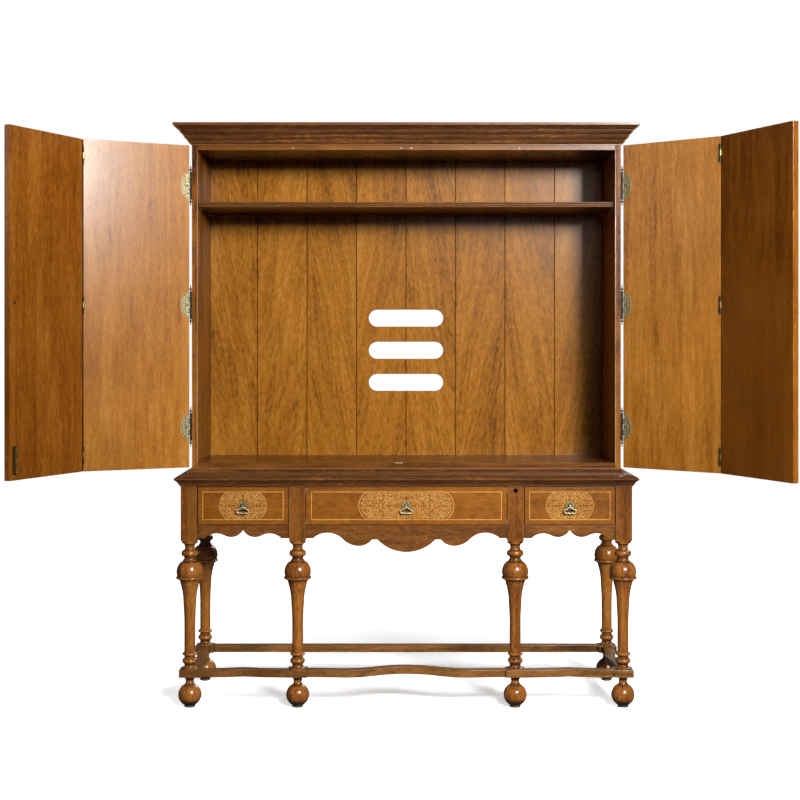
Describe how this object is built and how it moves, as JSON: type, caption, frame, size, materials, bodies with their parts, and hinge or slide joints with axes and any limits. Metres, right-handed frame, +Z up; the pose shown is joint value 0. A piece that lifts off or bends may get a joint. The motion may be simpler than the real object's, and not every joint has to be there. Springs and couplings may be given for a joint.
{
  "type": "television armoire on a turned stand",
  "caption": "Shallow walnut media case with paired folding doors, crown moulding and cable slots, on a turned-leg stand with drawers and shaped stretchers.",
  "frame": {"origin": "on the floor, under the middle of the stand", "axes": "+X to the right of someone facing the open doors, +Y from the front to the back, +Z up"},
  "size_m": [2.3685, 0.9404, 1.9165],
  "materials": {
    "moulding_walnut": "dark stained walnut, satin lacquer",
    "turned_walnut": "turned walnut, gloss lacquer over rubbed stain",
    "veneered_walnut": "walnut veneer with stringing, satin lacquer",
    "case_walnut": "walnut veneer, satin lacquer",
    "back_board_walnut": "golden walnut boards, satin lacquer",
    "door_walnut": "walnut veneer, satin lacquer",
    "drawer_wood": "plain secondary timber, thin lacquer",
    "antique_brass": "aged, toned brass",
    "plain_brass": "plain rolled brass, lightly dulled",
    "glide": "dark moulded nylon",
    "bumper": "pale moulded pads",
    "lens": "dark infra-red lens"
  },
  "bodies": {
    "cabinet": {"left_front_leg": "turned_walnut", "left_inner_leg": "turned_walnut", "right_inner_leg": "turned_walnut", "right_front_leg": "turned_walnut", "left_rear_leg": "turned_walnut", "right_rear_leg": "turned_walnut", "ball_feet": "turned_walnut", "foot_glides": "glide", "front_stretcher": "turned_walnut", "rear_stretcher": "turned_walnut", "side_stretchers": "turned_walnut", "front_aprons": "veneered_walnut", "end_panels": "veneered_walnut", "stand_back_panel": "drawer_wood", "drawer_dividers": "drawer_wood", "drawer_runners": "drawer_wood", "stand_top": "moulding_walnut", "remote_eye": "lens", "case_left_side": "case_walnut", "case_right_side": "case_walnut", "case_floor": "case_walnut", "case_top": "case_walnut", "case_rails": "case_walnut", "back_boards": "back_board_walnut", "slotted_back_boards": "back_board_walnut", "crown_moulding": "moulding_walnut", "base_moulding": "moulding_walnut", "shelf": "case_walnut", "shelf_pins": "plain_brass", "door_bumpers": "bumper", "bolt_strike": "plain_brass", "case_hinges": "antique_brass"},
    "left_drawer": {"left_drawer_front": "veneered_walnut", "left_drawer_box": "drawer_wood", "left_drawer_rose": "antique_brass"},
    "left_drawer_pull": {"left_drawer_bail": "antique_brass"},
    "right_drawer": {"right_drawer_front": "veneered_walnut", "right_drawer_box": "drawer_wood", "right_drawer_rose": "antique_brass"},
    "right_drawer_pull": {"right_drawer_bail": "antique_brass"},
    "centre_drawer": {"centre_drawer_box": "drawer_wood", "centre_flap_fittings": "plain_brass"},
    "centre_flap": {"centre_fall_front": "veneered_walnut", "centre_drawer_rose": "antique_brass"},
    "centre_drawer_pull": {"centre_drawer_bail": "antique_brass"},
    "left_inner_panel": {"left_inner_door": "door_walnut", "left_inner_door_hinges": "antique_brass"},
    "left_outer_panel": {"left_outer_door": "door_walnut", "left_outer_door_hinges": "plain_brass", "left_pull_plate": "antique_brass", "slide_bolt_body": "plain_brass"},
    "left_door_pull": {"left_drop_pull": "antique_brass"},
    "right_inner_panel": {"right_inner_door": "door_walnut", "right_inner_door_hinges": "antique_brass"},
    "right_outer_panel": {"right_outer_door": "door_walnut", "right_outer_door_hinges": "plain_brass", "right_pull_plate": "antique_brass"},
    "right_door_pull": {"right_drop_pull": "antique_brass"},
    "slide_bolt": {"slide_bolt_rod": "plain_brass"}
  },
  "joints": [
    {"name": "left_door_swing", "type": "hinge", "parent": "cabinet", "child": "left_inner_panel", "pos_m": [-0.714, -0.1515, 1.314], "axis": [0, 0, -1], "range_deg": [-153.9, 26.1]},
    {"name": "left_door_fold", "type": "hinge", "parent": "left_inner_panel", "child": "left_outer_panel", "pos_m": [-1.03497, -0.31063, 1.314], "axis": [0, 0, 1], "range_deg": [-39.25, 6.7]},
    {"name": "left_door_pull_swing", "type": "hinge", "parent": "left_outer_panel", "child": "left_door_pull", "pos_m": [-1.20351, -0.59882, 1.316], "axis": [0.4179, 0.9085, 0], "range_deg": [0, 75]},
    {"name": "right_door_swing", "type": "hinge", "parent": "cabinet", "child": "right_inner_panel", "pos_m": [0.714, -0.1515, 1.314], "axis": [0, 0, 1], "range_deg": [-140.6, 39.4]},
    {"name": "right_door_fold", "type": "hinge", "parent": "right_inner_panel", "child": "right_outer_panel", "pos_m": [0.98975, -0.38021, 1.314], "axis": [0, 0, -1], "range_deg": [-27.35, 7.7]},
    {"name": "right_door_pull_swing", "type": "hinge", "parent": "right_outer_panel", "child": "right_door_pull", "pos_m": [1.15121, -0.67243, 1.316], "axis": [0.3955, -0.9184, 0], "range_deg": [0, 75]},
    {"name": "left_drawer_slide", "type": "slide", "parent": "cabinet", "child": "left_drawer", "axis": [0, -1, 0], "range_m": [0, 0.3]},
    {"name": "left_drawer_pull_swing", "type": "hinge", "parent": "left_drawer", "child": "left_drawer_pull", "pos_m": [-0.534, -0.225, 0.66325], "axis": [-1, 0, 0], "range_deg": [0, 80]},
    {"name": "centre_drawer_slide", "type": "slide", "parent": "cabinet", "child": "centre_drawer", "axis": [0, -1, 0], "range_m": [0, 0.3]},
    {"name": "centre_flap_fall", "type": "hinge", "parent": "centre_drawer", "child": "centre_flap", "pos_m": [0, -0.2125, 0.602], "axis": [1, 0, 0], "range_deg": [0, 90]},
    {"name": "centre_drawer_pull_swing", "type": "hinge", "parent": "centre_flap", "child": "centre_drawer_pull", "pos_m": [0, -0.225, 0.66325], "axis": [-1, 0, 0], "range_deg": [0, 80]},
    {"name": "right_drawer_slide", "type": "slide", "parent": "cabinet", "child": "right_drawer", "axis": [0, -1, 0], "range_m": [0, 0.3]},
    {"name": "right_drawer_pull_swing", "type": "hinge", "parent": "right_drawer", "child": "right_drawer_pull", "pos_m": [0.534, -0.225, 0.66325], "axis": [-1, 0, 0], "range_deg": [0, 80]},
    {"name": "slide_bolt_throw", "type": "slide", "parent": "left_outer_panel", "child": "slide_bolt", "axis": [0, 0, -1], "range_m": [0, 0.01]}
  ],
  "couplings": [
    {"joint": "left_door_fold", "follows": "left_door_swing", "ratio": 0.25471},
    {"joint": "right_door_fold", "follows": "right_door_swing", "ratio": 0.19417}
  ]
}
